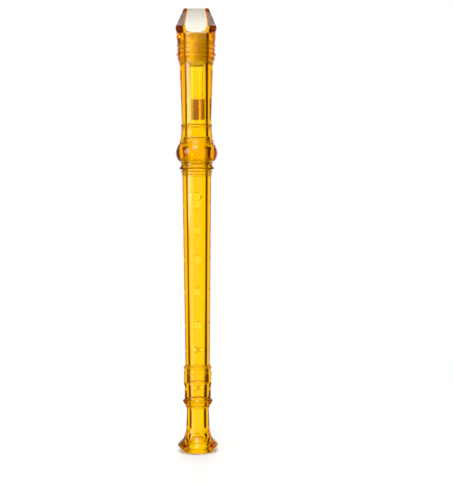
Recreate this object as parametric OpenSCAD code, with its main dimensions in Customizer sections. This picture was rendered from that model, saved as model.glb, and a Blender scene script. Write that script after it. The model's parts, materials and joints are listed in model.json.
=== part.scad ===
// Soprano recorder in three joints, standing on its bell.
// The bore runs up +Z from the bell's flat face. The thumb hole faces -Y and the finger holes face +Y.
// Radii and heights are in millimetres.

/* [Foot joint] */
// Height of the foot joint, from the table to its upper end
foot_len = 63.5; // [62:0.5:72]
// Radius of the flat ring that the bell stands on
bell_foot_r = 10.9; // [9.5:0.1:12]
// Radius of the bell's rim, its widest edge
bell_rim_r = 14.9; // [13.5:0.1:17]
// Height of the bell's widest edge
bell_rim_h = 4.6; // [3.5:0.1:6]
// Height of the bell's rim, where the stem's flare starts
bell_h = 8.2; // [7.2:0.1:9.5]
// Radius of the hollow at the bell's mouth
bell_mouth_r = 8.2; // [6.5:0.1:9]
// Depth of the hollow in the bell
bell_hollow_h = 13; // [10:0.5:16]
// Radius of the stem, at the top of its flare
stem_r = 8.6; // [8:0.1:9.2]
// Radius of the stem under its ring
stem_top_r = 8.1; // [7.4:0.1:8.4]
// Height of the ring above the stem
foot_ring_z = 37; // [35:0.5:38]
// Radius of the ring above the stem
foot_ring_r = 11.1; // [10.4:0.1:12]
// Radius of the barrel that carries the lowest finger holes
barrel_r = 9.75; // [9.2:0.05:10.2]
// Radius of the collar around the foot's socket
collar_r = 10.4; // [9.9:0.05:11.5]
// Height of the collar around the foot's socket, down from the foot's upper end
collar_h = 14.6; // [14.4:0.1:16]
// Bore radius in the bell's end of the foot
foot_bore_r = 5; // [4.4:0.05:5.3]

/* [Middle joint] */
// Exposed length of the middle joint
mid_len = 147.5; // [142:0.5:155]
// Radius of the middle joint at the foot
mid_low_r = 9.05; // [8.6:0.05:9.3]
// Radius of the middle joint under its upper rings
mid_top_r = 10.85; // [10.3:0.05:11.2]
// Bore radius at the foot's end
mid_bore_low_r = 5.6; // [5.3:0.05:5.8]
// Bore radius at the head's end
mid_bore_top_r = 7.05; // [6.6:0.05:7.2]
// Radius of the lower tenon, which the foot takes
low_tenon_r = 6.7; // [6.3:0.05:7.2]
// Length of the lower tenon
low_tenon_len = 12.9; // [10:0.1:13.5]
// Radius of the upper tenon, which the head takes
top_tenon_r = 8.4; // [8:0.05:8.9]
// Length of the upper tenon
top_tenon_len = 20; // [17:0.5:22]
// Radius of the middle joint's widest ring
mid_ring_r = 12.8; // [12.3:0.1:13.5]

/* [Holes] */
// Radius of the thumb hole
thumb_hole_r = 3.1; // [2.6:0.05:3.4]
// Height of the thumb hole above the foot
thumb_hole_up = 124; // [122:0.5:127]
// Heights of the five single finger holes above the foot
finger_holes_up = [119, 99.2, 77.5, 53.5, 28.5];
// Radii of the five single finger holes, from the top
finger_holes_r = [2.7, 2.9, 3, 2.9, 3.1];
// Height of the upper double hole above the foot
ring_double_up = 10.3; // [9:0.1:12]
// Height of the lower double hole above the table
foot_double_z = 45.2; // [44.5:0.1:46]
// Radius of the larger hole in each double hole
double_big_r = 1.95; // [1.6:0.05:2.1]
// Radius of the smaller hole in each double hole
double_small_r = 1.4; // [1.1:0.05:1.6]
// Distance between the two centres of a double hole
double_gap = 5.2; // [4.6:0.1:5.8]
// Width of the chamfer around each hole
hole_chamfer = 0.35; // [0.2:0.05:0.5]

/* [Head joint] */
// Length of the head joint, from its lower end to the tip of the beak
head_len = 117.4; // [114:0.1:122]
// Radius of the bulge around the head's socket
bulge_r = 15.45; // [14.8:0.05:16.5]
// Height of the widest edge of the bulge, above the head's lower end
bulge_up = 9; // [8.4:0.1:9.8]
// Radius of the curve of the bulge
bulge_curve_r = 9; // [8.4:0.1:10]
// Bore radius in the head
head_bore_r = 7.2; // [6.8:0.05:7.3]
// Height of the waist's lower end, above the head's lower end
waist_up = 30.5; // [30:0.5:32]
// Radius of the waist at its lower end
waist_r = 10.95; // [10.4:0.05:11.2]
// Radius of the waist at the lower end of the ramp
waist_top_r = 11.6; // [11.3:0.05:11.7]
// Radius of the head beside the window
window_end_r = 12.45; // [11.8:0.05:12.8]
// Radius of the widest ring between the window and the beak
crown_r = 14.75; // [14.1:0.05:15]
// Radius of the plain neck under the beak
neck_r = 14.6; // [14.2:0.05:14.9]
// Radius of the widest edge of the beak
beak_r = 15.3; // [15:0.05:16]
// Distance from the tip of the beak down to its widest edge
beak_len = 16.2; // [15:0.1:17]
// Radius of the tip of the beak
tip_r = 10.1; // [9.6:0.05:11]

/* [Mouthpiece] */
// Radius of the block at the tip of the beak
block_top_r = 8; // [7.7:0.05:8.4]
// Radius of the block at its lower face
block_low_r = 7.4; // [7.35:0.05:7.7]
// Distance from the tip of the beak down to the block's lower face
block_len = 42; // [39:0.5:45]
// Width of the windway, the window and the ramp
windway_w = 12; // [10:0.1:13]
// Height of the windway between the block and the roof
windway_h = 1; // [0.7:0.05:1.3]
// Height of the window, from the block to the edge of the ramp
window_h = 4.2; // [3.5:0.1:5]
// Length of the ramp below the window
ramp_len = 20; // [17:0.5:22]
// Radius of the ramp's sharp edge
ramp_edge_r = 7.8; // [7.6:0.05:8.1]
// Distance from the axis to the cut under the beak, at the tip
beak_cut_y = 4.2; // [3:0.1:5]
// Radius of the scooped cut under the beak
beak_cut_r = 22; // [20:0.1:24]
// Distance from the tip of the beak down to the lowest line of the scooped cut
beak_cut_down = 23; // [22:0.1:24]

/* [Label] */
// Bare strip between the label and the ramp
label_top_gap = 0.6; // [0.4:0.1:2]
// Bare strip between the label and the waist's lower end
label_low_gap = 4.4; // [2:0.1:6]
// Angle that the label covers around the head
label_angle = 86; // [60:1:100]
// Angle from the front to the middle of the label
label_turn = 12; // [-15:1:15]
// Thickness of the label
label_t = 0.15; // [0.1:0.01:0.25]
// Thickness of the glue under the label
label_glue = 0.02; // [0.01:0.01:0.04]

/* [Fits] */
// Radial clearance between a tenon and its socket
tenon_fit = 0.05; // [0.03:0.01:0.1]
// Gap between a joint's end and the shoulder that it seats on
seat_gap = 0.1; // [0.05:0.05:0.3]
// Space left past the end of a tenon
tenon_end_gap = 0.3; // [0.2:0.1:0.6]
// Radial clearance between the block and its seat
block_fit = 0.02; // [0.01:0.01:0.05]

/* [Hidden] */
$fn = 96;

amber = [0.98, 0.72, 0.08, 0.75];
ivory = [0.95, 0.92, 0.85];
bronze = [0.45, 0.27, 0.08];

past = 1;                                    // how far a cut runs past the face it opens
joint_low_z = foot_len;                      // where the middle joint's lower shoulder lies
joint_top_z = joint_low_z + mid_len;         // where the middle joint's upper shoulder lies
head_z = joint_top_z + seat_gap;             // the head's lower end
tip_z = head_z + head_len;                   // the tip of the beak
foot_top_z = joint_low_z - seat_gap;         // the foot's upper end
low_tenon_z = joint_low_z - low_tenon_len;   // the lower tenon's end
top_tenon_z = joint_top_z + top_tenon_len;   // the upper tenon's end
block_z = tip_z - block_len;                 // the block's lower face
seat_low_r = block_low_r + block_fit;        // the seat that holds the block, at the block's lower face
seat_top_r = block_top_r + block_fit;        // the same seat at the tip of the beak
seat_taper = (seat_top_r - seat_low_r) / block_len;
ramp_top_z = block_z - window_h;             // the ramp's sharp edge
ramp_low_z = ramp_top_z - ramp_len;          // where the ramp runs out at the surface
waist_low_z = head_z + waist_up;             // the waist's lower end
label_top_z = ramp_low_z - label_top_gap;    // the label's upper edge
label_low_z = waist_low_z + label_low_gap;   // the label's lower edge
head_end_r = mid_ring_r - 1.3;               // the head's lower end, which meets the middle joint's rings
cut_z = tip_z - beak_cut_down + beak_cut_r;  // the axis of the scooped cut
cut_y = beak_cut_y - sqrt(pow(beak_cut_r, 2) - pow(tip_z - cut_z, 2));
ring_h = 1.6;                                // height of a plain turned ring
window_end_z = block_z - 3;                  // where the head starts to widen towards the beak
crown_z = block_z + 3;                       // the lower end of the band of rings under the beak
crown_top_z = crown_z + 10.7;                // the upper end of that band
neck_z = crown_top_z + 5.3;                  // where the plain neck starts
collar_z = foot_len - collar_h;              // the collar's lower end
tenon_chamfer = 0.5;

// One turned stretch: the area between the axis and a straight side.
module stretch(r0, z0, r1, z1) {
    polygon([[0, z0], [r0, z0], [r1, z1], [0, z1]]);
}

// A turned ring with a half-round edge. Its centre lies at height z.
module bead(r, z, h) {
    translate([r - h / 2, z]) circle(d = h);
    translate([0, z - h / 2]) square([r - h / 2, h]);
}

// A hollow curve from (r0, z0) up to (r1, z1), where it runs parallel to the axis.
module flare(r0, z0, r1, z1) {
    run = z1 - z0;
    curve_r = (pow(run, 2) + pow(r0 - r1, 2)) / (2 * (r0 - r1));
    difference() {
        translate([0, z0]) square([r0, run]);
        translate([r1 + curve_r, z1]) circle(r = curve_r, $fn = 200);
    }
}

// The same hollow curve upside down: it runs parallel to the axis at (r0, z0) and ends at (r1, z1).
module flare_up(r0, z0, r1, z1) {
    translate([0, z0 + z1]) mirror([0, 1]) flare(r1, z0, r0, z1);
}

// A round hole through one wall, drilled from the front at height z, x off centre.
// surface_r is the radius of the outside there.
module front_hole(r, z, surface_r, x = 0) {
    mouth_y = sqrt(pow(surface_r, 2) - pow(x, 2));
    translate([x, 0, z]) rotate([-90, 0, 0]) {
        cylinder(r = r, h = surface_r + 2 * past);
        translate([0, 0, mouth_y - hole_chamfer])
            cylinder(r1 = r, r2 = r + hole_chamfer + 2 * past, h = hole_chamfer + 2 * past);
    }
}

// Two holes side by side under one finger.
module double_hole(z, surface_r) {
    front_hole(double_big_r, z, surface_r, -double_gap / 2);
    front_hole(double_small_r, z, surface_r, double_gap / 2);
}

// ---- foot joint ----

module foot_outline() {
    rim_round = 0.6;
    small_ring_h = 1.4;
    slope_z = foot_ring_z - 3.1;
    polygon([
        [0, 0],
        [bell_foot_r, 0],
        [bell_rim_r - rim_round, bell_rim_h - rim_round * 1.4],
        [bell_rim_r, bell_rim_h - rim_round / 3],
        [bell_rim_r - 0.25, bell_rim_h + rim_round],
        [bell_rim_r - rim_round * 3, bell_h - 0.9],
        [bell_rim_r - rim_round * 6, bell_h],
        [0, bell_h]
    ]);
    flare(stem_r + 2.9, bell_h, stem_r, bell_h + 10.3);
    stretch(stem_r, bell_h + 10.3, stem_top_r, slope_z);
    bead(stem_top_r + 0.8, slope_z - 1.2, small_ring_h);
    polygon([
        [0, slope_z],
        [stem_top_r + 1.3, slope_z],
        [foot_ring_r - 0.5, foot_ring_z - 1.3],
        [foot_ring_r, foot_ring_z - 0.3],
        [foot_ring_r, foot_ring_z + 0.3],
        [barrel_r, foot_ring_z + 1.9],
        [0, foot_ring_z + 1.9]
    ]);
    stretch(barrel_r, foot_ring_z + 1.9, barrel_r, collar_z);
    collar_top = foot_top_z - 5;
    stretch(collar_r - 0.1, collar_z, collar_r - 0.1, collar_top);
    bead(collar_r, collar_z + 1.1, 2.2);
    bead(collar_r, collar_top - 0.6, 1.2);
    stretch(collar_r - 0.5, collar_top, collar_r - 0.5, foot_top_z - 2.6);
    bead(collar_r + 0.05, foot_top_z - 1.7, 1.8);
    stretch(collar_r - 0.8, foot_top_z - 2.6, collar_r - 0.8, foot_top_z);
}

module foot_bore_outline() {
    socket_z = low_tenon_z - tenon_end_gap;
    bore_z = foot_ring_z - 6;
    polygon([
        [0, -past],
        [bell_mouth_r, -past],
        [bell_mouth_r, 0],
        [foot_bore_r, bell_hollow_h],
        [foot_bore_r, bore_z],
        [mid_bore_low_r, socket_z],
        [low_tenon_r + tenon_fit, socket_z],
        [low_tenon_r + tenon_fit, foot_top_z + past],
        [0, foot_top_z + past]
    ]);
}

module foot_joint() {
    color(amber) difference() {
        rotate_extrude() foot_outline();
        rotate_extrude() foot_bore_outline();
        double_hole(foot_double_z, barrel_r);
    }
}

// ---- middle joint ----

// Radius of the middle joint's plain taper at a height above the foot.
function mid_r(up) = mid_low_r + (mid_top_r - mid_low_r) * up / mid_len;

module mid_outline() {
    ring_z = joint_top_z - 2.1;
    step_h = 1.4;
    stretch(low_tenon_r - tenon_chamfer, low_tenon_z, low_tenon_r, low_tenon_z + tenon_chamfer);
    stretch(low_tenon_r, low_tenon_z + tenon_chamfer, low_tenon_r, joint_low_z);
    stretch(mid_low_r, joint_low_z, mid_top_r, joint_top_z);
    bead(mid_top_r + 0.35, ring_z - 4.9, step_h);
    bead(mid_top_r + 0.8, ring_z - 2.7, step_h);
    bead(mid_ring_r, ring_z, 2.6);
    stretch(mid_ring_r - 1.1, ring_z, mid_ring_r - 1.1, joint_top_z);
    stretch(top_tenon_r, joint_top_z, top_tenon_r, top_tenon_z - tenon_chamfer);
    stretch(top_tenon_r, top_tenon_z - tenon_chamfer, top_tenon_r - tenon_chamfer, top_tenon_z);
}

module mid_bore_outline() {
    taper = (mid_bore_top_r - mid_bore_low_r) / (top_tenon_z - low_tenon_z);
    stretch(mid_bore_low_r - taper * past, low_tenon_z - past,
            mid_bore_top_r + taper * past, top_tenon_z + past);
}

module middle_joint() {
    color(amber) difference() {
        rotate_extrude() mid_outline();
        rotate_extrude() mid_bore_outline();
        for (i = [0 : len(finger_holes_up) - 1])
            front_hole(finger_holes_r[i], joint_low_z + finger_holes_up[i], mid_r(finger_holes_up[i]));
        double_hole(joint_low_z + ring_double_up, mid_r(ring_double_up));
        rotate([0, 0, 180])
            front_hole(thumb_hole_r, joint_low_z + thumb_hole_up, mid_r(thumb_hole_up));
    }
}

// ---- head joint ----

// Radius of the waist's straight cone at height z.
function waist_at(z) = waist_r + (waist_top_r - waist_r) * (z - waist_low_z) / (ramp_low_z - waist_low_z);

module socket_bulge_outline() {
    bulge_z = head_z + bulge_up;
    low_z = bulge_z - 6.2;
    top_z = bulge_z + 4.9;
    neck_low_r = bulge_r - 2.8;
    stretch(head_end_r, head_z, head_end_r - 0.4, low_z);
    bead(head_end_r + 0.45, head_z + 1.7, ring_h);
    intersection() {
        translate([bulge_r - bulge_curve_r, bulge_z]) circle(r = bulge_curve_r, $fn = 160);
        translate([0, low_z]) square([bulge_r + past, top_z - low_z]);
    }
    stretch(bulge_r - bulge_curve_r, low_z, bulge_r - bulge_curve_r, top_z);
    bead(bulge_r - 1.3, top_z + 0.4, 1);
    flare(bulge_r - 1.7, top_z + 0.8, neck_low_r, top_z + 3.6);
    bead(neck_low_r - 0.1, top_z + 4.1, 1.2);
    stretch(neck_low_r - 0.4, top_z + 4.1, neck_low_r - 0.75, top_z + 6.4);
    flare(neck_low_r - 0.8, top_z + 6.4, waist_r + 0.2, waist_low_z);
}

module waist_outline() {
    bead(waist_r + 0.45, waist_low_z - 4.9, 1.1);
    bead(waist_r + 0.5, waist_low_z - 3.2, 1.1);
    bead(waist_r + 0.75, waist_low_z - 1.2, ring_h);
    stretch(waist_r, waist_low_z - 1, waist_r, waist_low_z);
    stretch(waist_r, waist_low_z, waist_top_r, ramp_low_z);
    stretch(waist_top_r, ramp_low_z, window_end_r, window_end_z);
}

// The rings between the window and the beak.
module crown_outline() {
    flare_up(window_end_r, window_end_z, crown_r - 1.25, crown_z);
    stretch(crown_r - 1.25, crown_z, crown_r - 0.95, crown_top_z);
    bead(crown_r - 0.85, crown_z + 0.4, ring_h);
    bead(crown_r, crown_z + 3.1, ring_h);
    bead(crown_r - 0.6, crown_z + 6.5, ring_h);
    bead(crown_r - 0.4, crown_z + 9.9, ring_h);
    stretch(crown_r - 0.95, crown_top_z, neck_r, neck_z);
}

// The plain neck under the beak and the beak's own outline, before it is cut from below.
module beak_outline() {
    edge_z = tip_z - beak_len;
    edge_round = 1.4;
    stretch(neck_r, neck_z, neck_r, edge_z - 3);
    polygon([
        [0, edge_z - 3],
        [neck_r, edge_z - 3],
        [beak_r - 0.25, edge_z - edge_round],
        [beak_r, edge_z],
        [beak_r - 0.15, edge_z + edge_round / 2],
        [beak_r - 0.6, edge_z + edge_round * 1.7],
        [(beak_r + tip_r) / 2 - 0.15, (edge_z + tip_z) / 2 + 1.2],
        [tip_r + 0.4, tip_z - 0.9],
        [tip_r, tip_z - 0.25],
        [tip_r - 0.3, tip_z],
        [0, tip_z]
    ]);
}

module head_outline() {
    socket_bulge_outline();
    waist_outline();
    crown_outline();
    beak_outline();
}

// The socket, the bore and the seat of the block.
module head_bore_outline() {
    socket_r = top_tenon_r + tenon_fit;
    socket_top = top_tenon_z + tenon_end_gap;
    polygon([
        [0, head_z - past],
        [socket_r + 0.4 + past, head_z - past],
        [socket_r, head_z + 0.4],
        [socket_r, socket_top],
        [head_bore_r, socket_top],
        [head_bore_r, block_z],
        [seat_low_r, block_z],
        [seat_top_r + seat_taper * past, tip_z + past],
        [0, tip_z + past]
    ]);
}

// A slab as wide as the windway, in front of the axis, from z0 to z1.
module front_slab(z0, z1) {
    translate([-windway_w / 2, 0, z0]) cube([windway_w, beak_r + past, z1 - z0]);
}

// The windway's roof, the open window and the ramp, which is a cone around the bore.
module voicing_cut() {
    exit_chamfer = 0.5;
    roof_low_r = seat_low_r + windway_h;
    roof_top_r = seat_top_r + windway_h;
    intersection() {
        front_slab(block_z, tip_z + past);
        rotate_extrude() polygon([
            [0, block_z],
            [roof_low_r + exit_chamfer, block_z],
            [roof_low_r + seat_taper * exit_chamfer, block_z + exit_chamfer],
            [roof_top_r + seat_taper * past, tip_z + past],
            [0, tip_z + past]
        ]);
    }
    front_slab(ramp_top_z, block_z + 0.01);
    surface_r = waist_at(ramp_low_z);
    slope = (surface_r - ramp_edge_r) / ramp_len;
    intersection() {
        front_slab(ramp_low_z - past / slope, ramp_top_z + 0.01);
        rotate_extrude() polygon([
            [ramp_edge_r, ramp_top_z + 0.01],
            [surface_r + past, ramp_low_z - past / slope],
            [beak_r + past, ramp_low_z - past / slope],
            [beak_r + past, ramp_top_z + 0.01]
        ]);
    }
}

// The scooped cut that leaves the beak, from the thumb's side.
module beak_cut() {
    translate([0, cut_y, cut_z]) rotate([0, 90, 0])
        cylinder(r = beak_cut_r, h = 4 * beak_r, center = true, $fn = 160);
}

module head_joint() {
    color(amber) difference() {
        rotate_extrude() head_outline();
        rotate_extrude() head_bore_outline();
        voicing_cut();
        beak_cut();
    }
}

// ---- block ----

module block() {
    exit_chamfer = 0.6;
    color(ivory) difference() {
        translate([0, 0, block_z]) cylinder(r1 = block_low_r, r2 = block_top_r, h = block_len);
        intersection() {
            front_slab(block_z - past, block_z + exit_chamfer);
            rotate_extrude() polygon([
                [block_low_r - exit_chamfer - past, block_z - past],
                [block_low_r + past, block_z - past],
                [block_low_r + past, block_z + exit_chamfer + past],
                [block_low_r, block_z + exit_chamfer]
            ]);
        }
        beak_cut();
    }
}

// ---- label ----

module label() {
    low_r = waist_at(label_low_z) + label_glue;
    top_r = waist_at(label_top_z) + label_glue;
    color(bronze) rotate([0, 0, 90 - label_turn - label_angle / 2])
        rotate_extrude(angle = label_angle) polygon([
            [low_r, label_low_z],
            [low_r + label_t, label_low_z],
            [top_r + label_t, label_top_z],
            [top_r, label_top_z]
        ]);
}

foot_joint();
middle_joint();
head_joint();
block();
label();
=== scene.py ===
"""Looks, light and camera for the soprano recorder of clear amber plastic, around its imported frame."""
import json
import math
from typing import NamedTuple

import bmesh
import bpy
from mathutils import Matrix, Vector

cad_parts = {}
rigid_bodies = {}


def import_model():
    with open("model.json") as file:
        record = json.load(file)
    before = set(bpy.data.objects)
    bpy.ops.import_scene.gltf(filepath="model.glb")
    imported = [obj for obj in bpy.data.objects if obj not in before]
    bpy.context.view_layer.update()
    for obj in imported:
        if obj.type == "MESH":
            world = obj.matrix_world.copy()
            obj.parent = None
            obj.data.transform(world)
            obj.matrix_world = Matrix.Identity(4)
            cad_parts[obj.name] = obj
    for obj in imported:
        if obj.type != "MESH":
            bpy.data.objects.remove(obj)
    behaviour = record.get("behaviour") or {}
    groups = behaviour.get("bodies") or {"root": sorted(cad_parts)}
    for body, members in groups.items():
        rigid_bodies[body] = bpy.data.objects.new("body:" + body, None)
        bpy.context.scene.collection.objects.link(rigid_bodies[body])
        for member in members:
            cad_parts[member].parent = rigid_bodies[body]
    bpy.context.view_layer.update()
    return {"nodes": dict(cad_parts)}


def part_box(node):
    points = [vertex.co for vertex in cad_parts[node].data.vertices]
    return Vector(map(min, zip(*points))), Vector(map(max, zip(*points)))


# ---- the photograph's frame, in pixels, and what one of them spans at the recorder's axis
WIDTH, HEIGHT = 453, 485
LONG_SIDE = max(WIDTH, HEIGHT)
METRES_PER_PIXEL = 0.7406e-3

# ---- image points. A lone number is the place of one side of the whole recorder.
SIDES = {"left": 175.3, "right": 217.6, "top": 8.0, "bottom": 453.2}
# Name: (x, y, the node, the side of it that the point lies on)
TIPS = {
    "beak_left": (175.3, 29.0, "head_joint", "left"),
    "crown_ring_left": (176.8, 55.1, "head_joint", "left"),
    "crown_ring_right": (215.5, 55.1, "head_joint", "right"),
    "bulge_left": (175.4, 152.5, "head_joint", "left"),
    "bulge_right": (217.2, 153.0, "head_joint", "right"),
    "middle_ring_left": (179.0, 168.0, "middle_joint", "left"),
    "middle_ring_right": (213.7, 168.0, "middle_joint", "right"),
    "foot_ring_left": (182.4, 400.3, "foot_joint", "left"),
    "foot_ring_right": (212.6, 400.3, "foot_joint", "right"),
    "bell_rim_left": (177.3, 444.5, "foot_joint", "left"),
    "bell_rim_right": (217.6, 444.5, "foot_joint", "right"),
}
# Name: (y, the node, the end of it that lies there)
ENDS = {
    "label_top": (99.3, "label", "top"),
    "label_bottom": (119.8, "label", "bottom"),
    "block_face_bottom": (32.6, "block", "front"),
    "foot_top": (366.3, "foot_joint", "rim"),
}
# (x, y, the node, and the hole's height in metres)
THUMB_HOLE = (196.3, 196.7, "middle_joint", 0.1875)
# How far from its point a tip is looked for, in pixels
TIP_REACH = 3.0
# How near a vertex is to a plane it lies on, and to the centre of the hole it lies round, in metres
SAME_PLACE = 0.0002
HOLE_REACH = 0.006

# ---- the camera: it looks along +Y, level, from a little to the right of the recorder
SENSOR = 36.0
DISTANCE = 0.66
CAMERA_X = 0.0218
CAMERA_Z = 0.15385
CAMERA_ROLL = math.radians(0.26)
CLIP_NEAR = 0.01

# How often a ray may bend or bounce: it passes eight surfaces at a tenon, and more in a thick edge
BOUNCES = 24

# ---- the clear amber plastic: what a metre of it takes from red, green and blue light
AMBER_IOR = 1.5
AMBER_ABSORBS = (5.0, 37.0, 1000.0)
# What the shader takes is (1 - colour) x density, so the density lies above the largest of them
AMBER_DENSITY = 1100.0
# A painted glow: a faint amber emission from every surface of the plastic, which stands in for light caught
# in a thick edge and shows there as brown
AMBER_PAINTED_GLOW = (0.016, 0.0055, 0.0002)
# From clean to handled
AMBER_ROUGHNESS = (0.0, 0.03)
# The heights of waves, pores and brush marks are in metres
AMBER_WAVE_HEIGHT = 5e-6

# ---- the ivory block
IVORY_COLOURS = ((0.86, 0.81, 0.68), (0.90, 0.855, 0.735))
IVORY_ROUGHNESS = (0.3, 0.42)
IVORY_PORE_HEIGHT = 2e-5

# ---- the label's foil
FOIL_COLOURS = ((0.34, 0.21, 0.03), (0.43, 0.27, 0.05))
FOIL_METALLIC = 0.6
FOIL_ROUGHNESS = (0.16, 0.24)
FOIL_BRUSH_HEIGHT = 1e-5

# ---- grains of noise: cells to a metre, finer layers, and how much closer the cells lie along each axis
HANDLED = {"scale": 140, "detail": 4}
WAVES = {"scale": 55, "detail": 1, "stretch": (1, 1, 0.3)}
MOTTLE = {"scale": 180, "detail": 3}
SATIN = {"scale": 900, "detail": 2}
PORES = {"scale": 1500, "detail": 3}
BRUSHED = {"scale": 300, "detail": 4, "stretch": (6, 6, 0.4)}
PAPER = {"scale": 900, "detail": 3}
# The low and high noise between which a colour or a roughness changes
SPREAD = (0.3, 0.7)
MOTTLE_SPREAD = (0.35, 0.65)
HANDLED_SPREAD = (0.45, 0.75)

# ---- the floor
FLOOR_R = 0.4
FLOOR_SEGMENTS = 96
FLOOR_COLOURS = ((0.873, 0.873, 0.873), (0.90, 0.90, 0.90))
FLOOR_GLOW = 0.08
FLOOR_GLOSS = 0.12
FLOOR_ROUGHNESS = 0.12


class Board(NamedTuple):
    """A soft-edged board of the studio: its angles in degrees, its colour, and the kind of ray it is for."""
    turn: float
    climb: float
    half_turn: float
    half_climb: float
    soft: float
    colour: tuple
    kind: str


# ---- the studio: boards on dark walls, placed by the direction in which they are seen.
# The dark walls give clear plastic its dark lines, and the windows beside them keep it amber from every side.
WALL = (0.02, 0.003, 0.0)
# A turn of 0 is straight behind the recorder, and -90 is at its left. "clear" is what the eye sees through
# plastic, "inner" lights what stands in plastic, "lit" lights what is matt, and "outer" is reflected by
# outer surfaces and lights them. A later board covers the ones before it.
BOARDS = {
    "left_wall": Board(-75, 0, 35, 30, 8, (0.26, 0.10, 0.0), "clear"),
    "high_left": Board(-50, 34, 65, 12, 8, (0.50, 0.36, 0.12), "clear"),
    "high_right": Board(55, 34, 40, 12, 8, (0.18, 0.11, 0.01), "clear"),
    "right_window": Board(98, 0, 22, 38, 10, (1.0, 0.82, 0.5), "clear"),
    "left_window": Board(-98, 0, 22, 38, 10, (0.85, 0.66, 0.4), "clear"),
    "front_window": Board(180, 0, 62, 50, 12, (0.9, 0.72, 0.45), "clear"),
    "low_band": Board(0, -24, 180, 7, 3, (0.95, 0.8, 0.5), "clear"),
    "ground": Board(0, -74, 180, 46, 6, (0.8, 0.62, 0.35), "clear"),
    "warm_backdrop": Board(-4, 0, 41, 22, 7, (1.17, 0.85, 0.70), "clear"),
    "low_right_wall": Board(56, -11, 28, 6, 4, (0.03, 0.004, 0.0), "clear"),
    "low_left_wall": Board(-60, -11, 22, 6, 4, (0.13, 0.03, 0.0), "clear"),
    "label_key": Board(-142, 12, 9, 5, 4, (9.0, 7.4, 2.0), "clear"),
    "inner_fill": Board(0, 0, 180, 90, 1, (0.12, 0.09, 0.05), "inner"),
    "inner_ground": Board(0, -62, 180, 32, 8, (2.2, 1.6, 0.3), "inner"),
    "inner_key": Board(-128, 42, 26, 28, 8, (13.0, 9.6, 5.0), "inner"),
    "side_fill": Board(0, 5, 70, 30, 10, (0.3, 0.3, 0.24), "outer"),
    "backdrop": Board(0, 0, 33, 22, 9, (1.0, 1.0, 1.0), "outer"),
    "veil": Board(180, 0, 50, 12, 8, (0.3, 0.3, 0.3), "outer"),
    "key": Board(-118, 4.6, 12, 4.6, 1.5, (6.0, 6.0, 6.0), "outer"),
    "key_edge": Board(-140, 4, 10, 6, 8, (2.5, 2.5, 2.5), "outer"),
    "key_low": Board(-130, -8, 13, 7, 4, (2.0, 2.0, 2.0), "outer"),
    "key_up": Board(-127, 20, 14, 11, 4, (3.0, 3.0, 3.0), "outer"),
    "top": Board(-172, 56, 18, 30, 10, (4.0, 4.0, 4.0), "outer"),
    "ceiling": Board(0, 90, 180, 20, 8, (6.8, 6.8, 6.8), "lit"),
}

BLACK = (0, 0, 0, 1)
WHITE = (1, 1, 1, 1)
# The sockets of a Mix node that mixes colours: its share and its two colours, and its result
MIX_INPUTS = (0, 6, 7)
MIX_RESULT = 2


def make_camera():
    """The camera at the photograph's place, with no shift."""
    data = bpy.data.cameras.new("camera")
    data.sensor_fit = "AUTO"
    data.sensor_width = SENSOR
    data.lens = SENSOR * DISTANCE / (LONG_SIDE * METRES_PER_PIXEL)
    data.clip_start = CLIP_NEAR
    camera = bpy.data.objects.new("camera", data)
    camera.location = (CAMERA_X, -DISTANCE, CAMERA_Z)
    camera.rotation_euler = (math.pi / 2, CAMERA_ROLL, 0)
    bpy.context.scene.collection.objects.link(camera)
    bpy.context.scene.camera = camera
    return camera


# ---- materials

class Nodes:
    """A node tree being built, emptied first, with short calls for what the materials share."""

    def __init__(self, owner):
        owner.use_nodes = True
        self.tree = owner.node_tree
        self.tree.nodes.clear()

    def add(self, kind, **inputs):
        """A node of this kind, with values or links given by its inputs' names."""
        node = self.tree.nodes.new(kind)
        for name, value in inputs.items():
            self.set(node, name.replace("_", " "), value)
        return node

    def set(self, node, name, value):
        """Links an input to a socket, or gives it a value of its own."""
        socket = node.inputs[name]
        if isinstance(value, bpy.types.NodeSocket):
            self.tree.links.new(value, socket)
        else:
            socket.default_value = value

    def maths(self, operation, first, second=0.0):
        node = self.tree.nodes.new("ShaderNodeMath")
        node.operation = operation
        self.set(node, 0, first)
        self.set(node, 1, second)
        return node.outputs[0]

    def remap(self, value, old, new):
        """The value, with its old (low, high) range laid onto the new one."""
        node = self.add("ShaderNodeMapRange", Value=value)
        for name, limit in zip(("From Min", "From Max", "To Min", "To Max"), (*old, *new)):
            self.set(node, name, limit)
        return node.outputs[0]

    def ramp(self, value, places, colours):
        """A colour ramp between two colours, which lie at two places."""
        node = self.tree.nodes.new("ShaderNodeValToRGB")
        self.tree.links.new(value, node.inputs[0])
        for element, place, colour in zip(node.color_ramp.elements, places, colours):
            element.position = place
            element.color = (*colour, 1)
        return node.outputs[0]

    def noise(self, scale, detail, stretch=(1, 1, 1)):
        """Noise in the object's own metres, with its cells closer along each axis by the stretch."""
        place = self.tree.nodes.new("ShaderNodeTexCoord").outputs["Object"]
        mapping = self.add("ShaderNodeMapping", Vector=place, Scale=stretch)
        node = self.add("ShaderNodeTexNoise", Vector=mapping.outputs[0], Scale=scale, Detail=detail)
        return node.outputs["Fac"]

    def bump(self, height, distance):
        return self.add("ShaderNodeBump", Height=height, Distance=distance, Strength=1.0).outputs[0]

    def mix_colours(self, share, first, second):
        """The first colour where the share is 0, the second where it is 1."""
        node = self.tree.nodes.new("ShaderNodeMix")
        node.data_type = "RGBA"
        for index, value in zip(MIX_INPUTS, (share, first, second)):
            self.set(node, index, value)
        return node.outputs[MIX_RESULT]

    def mix_shaders(self, share, first, second):
        """The first shader where the share is 0, the second where it is 1."""
        node = self.tree.nodes.new("ShaderNodeMixShader")
        for index, value in enumerate((share, first, second)):
            self.set(node, index, value)
        return node.outputs[0]

    def output(self, kind, **links):
        """The tree's last node, with its links given by its inputs' names."""
        node = self.add(kind)
        for name, socket in links.items():
            self.tree.links.new(socket, node.inputs[name])


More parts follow.
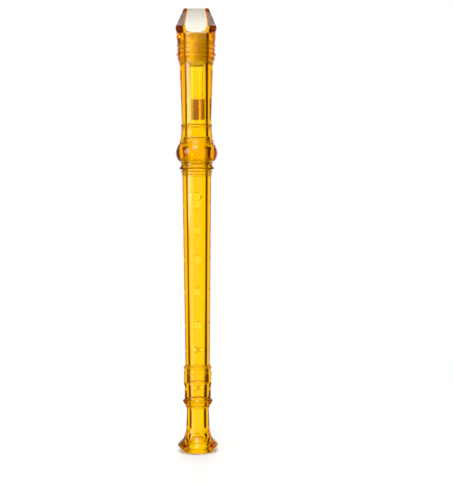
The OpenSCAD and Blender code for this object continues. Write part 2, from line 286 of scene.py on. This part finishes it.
def amber_plastic():
    """Clear amber: the colour is what its depth absorbs, with a faint painted glow on its surfaces. The
    moulded skin is faintly wavy and handled.
    """
    material = bpy.data.materials.new("amber_plastic")
    n = Nodes(material)
    shader = n.add("ShaderNodeBsdfPrincipled",
                   Base_Color=WHITE,
                   Transmission_Weight=1.0,
                   IOR=AMBER_IOR,
                   # Painted glow: a faint amber emission on every surface stands in for light caught inside
                   # the plastic
                   Emission_Color=(*AMBER_PAINTED_GLOW, 1),
                   Emission_Strength=1.0,
                   Roughness=n.remap(n.noise(**HANDLED), HANDLED_SPREAD, AMBER_ROUGHNESS),
                   Normal=n.bump(n.noise(**WAVES), AMBER_WAVE_HEIGHT))
    kept = [1 - taken / AMBER_DENSITY for taken in AMBER_ABSORBS]
    volume = n.add("ShaderNodeVolumeAbsorption", Color=(*kept, 1), Density=AMBER_DENSITY)
    n.output("ShaderNodeOutputMaterial", Surface=shader.outputs[0], Volume=volume.outputs[0])
    return material


def ivory_plastic():
    """The pale block that fills the beak: mottled, satin, with fine pores."""
    material = bpy.data.materials.new("ivory_plastic")
    n = Nodes(material)
    shader = n.add("ShaderNodeBsdfPrincipled",
                   Base_Color=n.ramp(n.noise(**MOTTLE), MOTTLE_SPREAD, IVORY_COLOURS),
                   Roughness=n.remap(n.noise(**SATIN), SPREAD, IVORY_ROUGHNESS),
                   Normal=n.bump(n.noise(**PORES), IVORY_PORE_HEIGHT))
    n.output("ShaderNodeOutputMaterial", Surface=shader.outputs[0])
    return material


def label_foil():
    """The blank label on the head: bronze foil, brushed along the recorder."""
    material = bpy.data.materials.new("label_foil")
    n = Nodes(material)
    brushed = n.noise(**BRUSHED)
    shader = n.add("ShaderNodeBsdfPrincipled",
                   Base_Color=n.ramp(brushed, SPREAD, FOIL_COLOURS),
                   Metallic=FOIL_METALLIC,
                   Roughness=n.remap(brushed, SPREAD, FOIL_ROUGHNESS),
                   Normal=n.bump(brushed, FOIL_BRUSH_HEIGHT))
    n.output("ShaderNodeOutputMaterial", Surface=shader.outputs[0])
    return material


def dress(nodes):
    """Gives every CAD node its material."""
    amber, ivory, foil = amber_plastic(), ivory_plastic(), label_foil()
    looks = {"foot_joint": amber, "middle_joint": amber, "head_joint": amber, "block": ivory, "label": foil}
    for name, material in looks.items():
        for slot in nodes[name].material_slots:
            slot.material = material


# ---- floor and light

def floor_paper():
    """White paper with a faint gloss. The camera sees it glow a little, so that only shadows are grey."""
    material = bpy.data.materials.new("floor_paper")
    n = Nodes(material)
    grain = n.ramp(n.noise(**PAPER), SPREAD, FLOOR_COLOURS)
    paper = n.add("ShaderNodeBsdfDiffuse", Color=grain)
    gloss = n.add("ShaderNodeBsdfGlossy", Roughness=FLOOR_ROUGHNESS)
    coated = n.mix_shaders(FLOOR_GLOSS, paper.outputs[0], gloss.outputs[0])
    seen = n.tree.nodes.new("ShaderNodeLightPath").outputs["Is Camera Ray"]
    glow = n.add("ShaderNodeEmission", Strength=n.maths("MULTIPLY", seen, FLOOR_GLOW))
    both = n.tree.nodes.new("ShaderNodeAddShader")
    n.set(both, 0, coated)
    n.set(both, 1, glow.outputs[0])
    n.output("ShaderNodeOutputMaterial", Surface=both.outputs[0])
    return material


def make_floor():
    """A round sheet of white paper under the recorder, which the plastic doesn't show."""
    mesh = bpy.data.meshes.new("floor")
    shape = bmesh.new()
    bmesh.ops.create_circle(shape, cap_ends=True, radius=FLOOR_R, segments=FLOOR_SEGMENTS)
    shape.to_mesh(mesh)
    shape.free()
    floor = bpy.data.objects.new("floor", mesh)
    mesh.materials.append(floor_paper())
    bpy.context.scene.collection.objects.link(floor)
    floor.visible_transmission = False
    floor.visible_glossy = False


def inside(n, angle, half, soft):
    """1 where the angle is below the half width, 0 where it is above, with a soft edge between."""
    half, soft = math.radians(half), math.radians(soft)
    return n.remap(angle, (half - soft / 2, half + soft / 2), (1, 0))


def add_board(n, turn, climb, rays, level, board):
    """Lays one board over the level so far, for its own kind of ray."""
    away = n.maths("PINGPONG", n.maths("SUBTRACT", turn, math.radians(board.turn)), math.pi)
    rise = n.maths("ABSOLUTE", n.maths("SUBTRACT", climb, math.radians(board.climb)))
    share = n.maths("MULTIPLY",
                    inside(n, away, board.half_turn, board.soft),
                    inside(n, rise, board.half_climb, board.soft))
    share = n.maths("MULTIPLY", share, rays[board.kind])
    return n.mix_colours(share, level, (*board.colour, 1))


def kinds_of_ray(n, path):
    """1 for each kind of ray that a board may be meant for, and 0 for the other kinds."""
    through = path.outputs["Is Transmission Ray"]
    from_matt = n.maths("GREATER_THAN", path.outputs["Diffuse Depth"], 0.0)
    return {
        "clear": n.maths("MULTIPLY", through, n.maths("SUBTRACT", 1.0, from_matt)),
        "inner": n.maths("MULTIPLY", through, from_matt),
        "lit": path.outputs["Is Diffuse Ray"],
        "outer": n.maths("SUBTRACT", 1.0, through),
    }


def make_surroundings():
    """A studio of pale and dark boards, seen through the plastic. The camera itself sees white."""
    world = bpy.data.worlds.new("studio")
    bpy.context.scene.world = world
    n = Nodes(world)
    direction = n.tree.nodes.new("ShaderNodeTexCoord").outputs["Generated"]
    axes = n.add("ShaderNodeSeparateXYZ", Vector=direction)
    turn = n.maths("ARCTAN2", axes.outputs["X"], axes.outputs["Y"])
    climb = n.maths("ARCSINE", axes.outputs["Z"])
    path = n.tree.nodes.new("ShaderNodeLightPath")
    rays = kinds_of_ray(n, path)
    level = n.mix_colours(rays["clear"], BLACK, (*WALL, 1))
    for board in BOARDS.values():
        level = add_board(n, turn, climb, rays, level, board)
    boards = n.add("ShaderNodeBackground", Color=level, Strength=1.0)
    white = n.add("ShaderNodeBackground", Color=WHITE, Strength=1.0)
    seen = n.mix_shaders(path.outputs["Is Camera Ray"], boards.outputs[0], white.outputs[0])
    n.output("ShaderNodeOutputWorld", Surface=seen)


# ---- where things show in the picture

class Spot(NamedTuple):
    """A finished vertex: the pixel where it shows, and its place in metres."""
    x: float
    y: float
    place: object


def spots_of(camera, obj):
    """Where every finished vertex of an object shows."""
    to_camera = camera.matrix_world.inverted()
    scale = camera.data.lens / camera.data.sensor_width * LONG_SIDE
    finished = obj.evaluated_get(bpy.context.evaluated_depsgraph_get())
    spots = []
    for vertex in finished.data.vertices:
        place = obj.matrix_world @ vertex.co
        seen = to_camera @ place
        spots.append(Spot(WIDTH / 2 + scale * seen.x / -seen.z, HEIGHT / 2 - scale * seen.y / -seen.z, place))
    return spots


def side_offsets(spots):
    """How far the sides of the whole recorder show from their places."""
    across = [spot.x for spot in spots]
    down = [spot.y for spot in spots]
    return {
        "left": (min(across) - SIDES["left"], None),
        "right": (max(across) - SIDES["right"], None),
        "top": (None, min(down) - SIDES["top"]),
        "bottom": (None, max(down) - SIDES["bottom"]),
    }


def tip_offset(spots, x, y, side):
    """How far the outermost vertex near a point's height shows from the point."""
    near = [spot for spot in spots if abs(spot.y - y) < TIP_REACH]
    pick = min if side == "left" else max
    tip = pick(near, key=lambda spot: spot.x)
    return tip.x - x, tip.y - y


def end_offset(spots, y, node, end):
    """How far an end of a node, the front of its cut face or its near rim shows from its height."""
    low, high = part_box(node)
    if end == "front":
        spots = [spot for spot in spots if spot.place.y < low.y + SAME_PLACE]
    if end == "rim":
        spots = [spot for spot in spots if spot.place.z > high.z - SAME_PLACE and spot.place.y < 0]
    pick = max if end in ("bottom", "rim") else min
    return None, pick(spot.y for spot in spots) - y


def hole_offset(spots, x, y, height):
    """How far the middle of the hole in the near side shows from its point."""
    near = [spot for spot in spots if abs(spot.place.x) < HOLE_REACH and spot.place.y < 0]
    rim = [spot for spot in near if abs(spot.place.z - height) < HOLE_REACH]
    across = [spot.x for spot in rim]
    down = [spot.y for spot in rim]
    return (min(across) + max(across)) / 2 - x, (min(down) + max(down)) / 2 - y


def offsets(camera, nodes):
    """How far in x and y each thing shows from its image point."""
    shown = {name: spots_of(camera, node) for name, node in nodes.items()}
    found = side_offsets([spot for spots in shown.values() for spot in spots])
    for name, (x, y, node, side) in TIPS.items():
        found[name] = tip_offset(shown[node], x, y, side)
    for name, (y, node, end) in ENDS.items():
        found[name] = end_offset(shown[node], y, node, end)
    x, y, node, height = THUMB_HOLE
    found["thumb_hole"] = hole_offset(shown[node], x, y, height)
    return found


def make_points(camera, nodes):
    """Works out how far each thing shows from its image point."""
    found = offsets(camera, nodes)


# Blender starts with objects of its own, which go
for leftover in list(bpy.data.objects):
    bpy.data.objects.remove(leftover)
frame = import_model()

camera = make_camera()
dress(frame["nodes"])
make_surroundings()
make_floor()

scene = bpy.context.scene
scene.view_settings.view_transform = "Standard"
scene.cycles.max_bounces = BOUNCES
scene.cycles.transmission_bounces = BOUNCES

bpy.context.view_layer.update()
make_points(camera, frame["nodes"])
